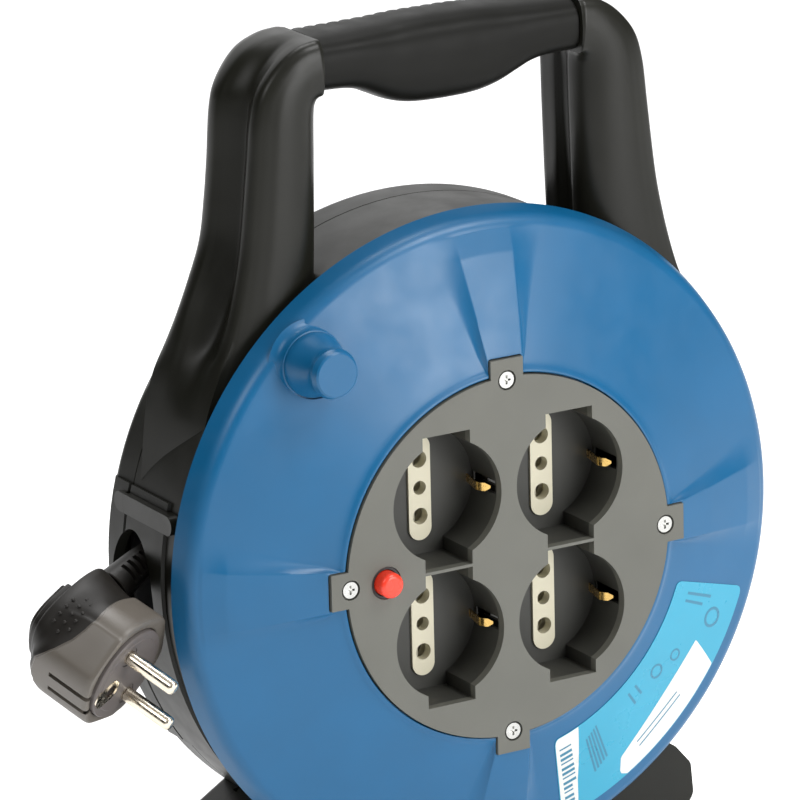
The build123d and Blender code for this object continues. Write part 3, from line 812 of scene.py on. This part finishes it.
def grip_rows():
    under, top = through(GRIP_UNDER, 10), through(GRIP_TOP, 10)
    turns = np.linspace(0, 2 * np.pi, 144, endpoint=False)
    # The section is a rounded rectangle, a superellipse.
    power = 2 / 3.1
    across = np.sign(np.cos(turns)) * np.abs(np.cos(turns)) ** power
    upward = np.sign(np.sin(turns)) * np.abs(np.sin(turns)) ** power
    on_edge = np.exp(-((turns - math.radians(52)) / 0.30) ** 2)
    rows = []
    for x in np.arange(-GRIP_END, GRIP_END + 0.01, 0.3):
        low = np.interp(abs(x), under[:, 0], under[:, 1])
        high = np.interp(abs(x), top[:, 0], top[:, 1])
        tuck = 0.4 * smooth_step(abs(x), 47.1, 47.6)
        middle, half = (low + high) / 2, (high - low) / 2 - tuck
        scallop = 0.5 - 0.5 * math.cos(2 * math.pi * (x + GRIP_END) / SCALLOP_PITCH)
        bite = 1.3 * scallop ** 1.5 * (1 - smooth_step(x, 27, 31)) * on_edge
        depth = 43.5 + (14.5 - tuck - bite) * across
        height = middle + (half - bite * 0.9) * upward
        rows.append([at(x, d, z) for d, z in zip(depth, height)])
    return rows


def make_grip():
    grip = adopt(solid("reel_grip", grip_rows()), "housing", "grip_plastic")
    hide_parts("handle_grip")


# Printed film on the disc

LABEL_FROM, LABEL_TO, LABEL_IN, LABEL_OUT, LABEL_MIDDLE = 108.1, 165.4, 69.2, 102.2, 85
# Heights above the disc of what is printed on the film, and of what is printed on its white parts.
ON_FILM, ON_WHITE = 0.21, 0.25


def patch(name, turns, inner, outer, lift, look, thickness=0.2, columns=14):
    """Thin sheet on the disc's slope, between an inner and an outer radius at each turn."""
    rows = []
    for turn, low, high in zip(turns, inner, outer):
        sine, cosine = math.sin(math.radians(turn)), math.cos(math.radians(turn))
        radii = np.linspace(low, high, columns)
        over = [at(r * sine, field(r) - lift - thickness, r * cosine) for r in radii]
        under = [at(r * sine, field(r) - lift, r * cosine) for r in reversed(radii)]
        rows.append(over + under)
    return adopt(solid(name, rows), "drum", "label_film", look)


def corner_cut(turns, radius, both_ends=True):
    """How far the rounded corners, at the last end or at both, take the edges in."""
    run = turns[-1] - turns
    if both_ends:
        run = np.minimum(turns - turns[0], run)
    run = run * math.pi / 180 * LABEL_MIDDLE
    gap = np.clip(radius - run, 0, radius)
    return radius - np.sqrt(radius ** 2 - gap ** 2)


def straight(turns, first, last):
    """Radii of the straight line between two (radius, turn) points."""
    points = []
    for r, turn in (first, last):
        points.append(np.array([r * math.sin(math.radians(turn)), r * math.cos(math.radians(turn))]))
    start, way = points[0], points[1] - points[0]
    radii = []
    for turn in turns:
        ray = np.array([math.sin(math.radians(turn)), math.cos(math.radians(turn))])
        radii.append(np.linalg.solve(np.column_stack([way, -ray]), -start)[1])
    return np.array(radii)


def make_label():
    turns = np.concatenate([
        np.linspace(LABEL_FROM, LABEL_FROM + 3, 14), np.linspace(LABEL_FROM + 3.5, LABEL_TO - 3.5, 90),
        np.linspace(LABEL_TO - 3, LABEL_TO, 14),
    ])
    trim = corner_cut(turns, 2.4)
    film = patch("label_print", turns, LABEL_IN + trim, LABEL_OUT - trim, 0.0, "label_film", 0.2, 36)
    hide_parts("label")
    turns = np.linspace(120.9, 150.9, 80)
    inner = straight(turns, (88.8, 120.8), (94.8, 151.0))
    inner = np.maximum(inner, np.interp(turns, [146, 151], [80, 99.0]))
    outer = np.minimum(101.9, np.interp(turns, [120.9, 123.6, 149.8, 150.9], [89.4, 101.9, 101.9, 100.0]))
    patch("label_band", turns, inner, outer, ON_FILM, "label_white", 0.03)
    turns = np.linspace(157.4, LABEL_TO - 0.2, 40)
    trim = corner_cut(turns, 2.2, both_ends=False)
    outer = np.interp(turns, [157.4, 158.4, 160.6, 161.6, 200], [69.6, 76.0, 90.0, 101.9, 101.9])
    inner, outer = LABEL_IN + 0.2 + trim, outer - trim * (turns > 162)
    patch("label_code", turns, inner, outer, ON_FILM, "label_white", 0.03)
    make_marks()


def make_marks():
    """Plain bars and rings where a maker's print would be."""
    for k in range(13):
        low = 74.0 + 2.0 * k
        first = 160.6 + 0.04 * k if low < 90 else 162.0
        bar = np.linspace(first, 164.2, 8)
        flat = np.full_like(bar, low)
        patch(f"label_bar_{k}", bar, flat, flat + (1.1 if k % 3 else 0.6), ON_WHITE, "label_ink", 0.02, 3)
    for k in range(5):
        line = np.linspace(152.2 + 0.9 * k, 152.7 + 0.9 * k, 3)
        low = np.full_like(line, 74.0 + 0.6 * k)
        patch(f"label_line_{k}", line, low, low + 15.0, ON_FILM, "label_ink", 0.02, 20)
    for k, (turn, radius, size) in enumerate(((115.2, 92.0, 3.6), (131.5, 78.6, 2.7), (125.8, 82.5, 2.2))):
        ring(f"label_ring_{k}", turn, radius, size)
    dashes = ((110.6, 76, 88), (112.6, 76, 85), (137.5, 74, 79), (140.2, 74, 80))
    for k, (turn, low, high) in enumerate(dashes):
        line = np.linspace(turn, turn + 0.7, 3)
        flat = np.full_like(line, low)
        patch(f"label_dash_{k}", line, flat, flat + (high - low), ON_FILM, "label_ink", 0.02, 14)
    for k in range(2):
        line = np.linspace(132.0, 145.0, 40)
        low = straight(line, (93.2 + 2.2 * k, 132.0), (93.6 + 2.2 * k, 145.0))
        patch(f"label_rule_{k}", line, low, low + 0.5, ON_WHITE, "label_ink", 0.02, 3)


def ring(name, turn, radius, size):
    """Flat ring printed on the slope."""
    x, z = radius * math.sin(math.radians(turn)), radius * math.cos(math.radians(turn))
    rows = []
    for k in range(48):
        way = 2 * math.pi * k / 48
        row = []
        for share, lift in ((1.0, 0.24), (0.72, 0.24), (0.72, 0.2), (1.0, 0.2)):
            px, pz = x + size * share * math.cos(way), z + size * share * math.sin(way)
            row.append(at(px, field(math.hypot(px, pz)) - lift, pz))
        rows.append(row)
    adopt(solid(name, rows, wrap=True), "drum", "label_film", "label_ink")


# Earth contacts of the sockets: a bent spring on each side of each well

# How far each well's centre is from the drum's axis, along x and along z.
SOCKET_OFF = 22.85


def clip_rows(x, z, side):
    """One spring, from its root behind the plate to its narrowed tip."""
    line = through([
        (18.6, 27.5), (18.6, 21.0), (18.0, 17.6), (17.2, 13.8), (16.5, 10.4), (16.3, 8.9), (16.9, 7.4),
        (18.0, 6.2), (19.2, 5.5),
    ], 5)
    rows = []
    for index, (out, depth) in enumerate(line):
        ahead = line[min(index + 1, len(line) - 1)] - line[max(index - 1, 0)]
        ahead = ahead / np.linalg.norm(ahead)
        normal = np.array([-ahead[1], ahead[0]]) * 0.25
        half = 1.35 if index < len(line) - 6 else 1.35 - 0.16 * (index - len(line) + 7)
        section = (
            (half, 1), (half * 0.8, 1.25), (-half * 0.8, 1.25), (-half, 1), (-half, -1), (half, -1),
        )
        row = []
        for up, n in section:
            row.append(at(x + side * (out + normal[0] * n), depth + normal[1] * n, z + up))
        rows.append(row)
    return rows


def make_clips():
    clips = []
    for z in (SOCKET_OFF, -SOCKET_OFF):
        for x in (-SOCKET_OFF, SOCKET_OFF):
            for side in (-1, 1):
                clips.append(solid("clip", clip_rows(x, z, side)))
    clips = adopt(join("earth_springs", clips), "drum", "contact_brass")
    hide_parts("earth_clips")


# Studio

def make_studio():
    reach = 6.0
    floor = bpy.data.meshes.new("floor")
    corners = [(-reach, -reach, 0), (reach, -reach, 0), (reach, reach, 0), (-reach, reach, 0)]
    floor.from_pydata(corners, [], [(0, 1, 2, 3)])
    floor_object = bpy.data.objects.new("floor", floor)
    pale, _, paint = material("floor_pale", (0.9, 0.9, 0.9), 0.9, specular=0.1)
    paint.inputs["Emission Color"].default_value = (1, 1, 1, 1)
    paint.inputs["Emission Strength"].default_value = 0.42
    floor.materials.append(pale)
    bpy.context.scene.collection.objects.link(floor_object)
    make_world()
    soft_box("key", (0.55, -1.45, 0.48), 0.75, 15)
    soft_box("high", (0.45, -0.75, 1.35), 0.5, 11)
    soft_box("top", (0.15, 0.3, 1.4), 0.6, 9)
    soft_box("left", (-0.95, -0.39, 0.93), 0.45, 3.2)
    bpy.context.scene.view_settings.view_transform = "Standard"


def make_world():
    """White behind the object; what lights it is bright overhead and dim near the horizon."""
    world = bpy.data.worlds.new("studio")
    world.use_nodes = True
    tree = world.node_tree
    seen = tree.nodes["Background"]
    seen.inputs["Color"].default_value = (1, 1, 1, 1)
    seen.inputs["Strength"].default_value = 1.0
    lit = tree.nodes.new("ShaderNodeBackground")
    way = tree.nodes.new("ShaderNodeTexCoord")
    towards = tree.nodes.new("ShaderNodeVectorMath")
    towards.operation = "DOT_PRODUCT"
    towards.inputs[1].default_value = (0.30, -0.38, 0.87)
    tree.links.new(way.outputs["Generated"], towards.inputs[0])
    overhead = ramp(tree, towards.outputs["Value"], [(0.0, 0.02), (0.3, 0.06), (0.7, 0.32), (1.0, 0.6)])
    behind = tree.nodes.new("ShaderNodeVectorMath")
    behind.operation = "DOT_PRODUCT"
    behind.inputs[1].default_value = (0.15, 0.92, 0.36)
    tree.links.new(way.outputs["Generated"], behind.inputs[0])
    backdrop = ramp(tree, behind.outputs["Value"], [(0.80, 0.0), (0.95, 1.4)])
    both = tree.nodes.new("ShaderNodeMix")
    both.data_type = "RGBA"
    both.blend_type = "ADD"
    both.inputs["Factor"].default_value = 1.0
    tree.links.new(overhead, both.inputs["A"])
    tree.links.new(backdrop, both.inputs["B"])
    tree.links.new(both.outputs["Result"], lit.inputs["Color"])
    lit.inputs["Strength"].default_value = 1.0
    ray = tree.nodes.new("ShaderNodeLightPath")
    mix = tree.nodes.new("ShaderNodeMixShader")
    tree.links.new(ray.outputs["Is Camera Ray"], mix.inputs["Fac"])
    tree.links.new(lit.outputs["Background"], mix.inputs[1])
    tree.links.new(seen.outputs["Background"], mix.inputs[2])
    tree.links.new(mix.outputs["Shader"], tree.nodes["World Output"].inputs["Surface"])
    bpy.context.scene.world = world


def soft_box(name, place, size, power):
    lamp = bpy.data.lights.new(name, "AREA")
    lamp.size = size
    lamp.energy = power
    holder = bpy.data.objects.new(name, lamp)
    holder.location = place
    aim = Vector((0, 0, 0.14)) - Vector(place)
    holder.rotation_euler = aim.to_track_quat("-Z", "Y").to_euler()
    bpy.context.scene.collection.objects.link(holder)


make_camera()
materials = make_materials()
dress_cad()
tail, tail_length = make_cables()
make_plug()
make_disc()
make_handle()
make_grip()
make_label()
make_clips()
make_studio()
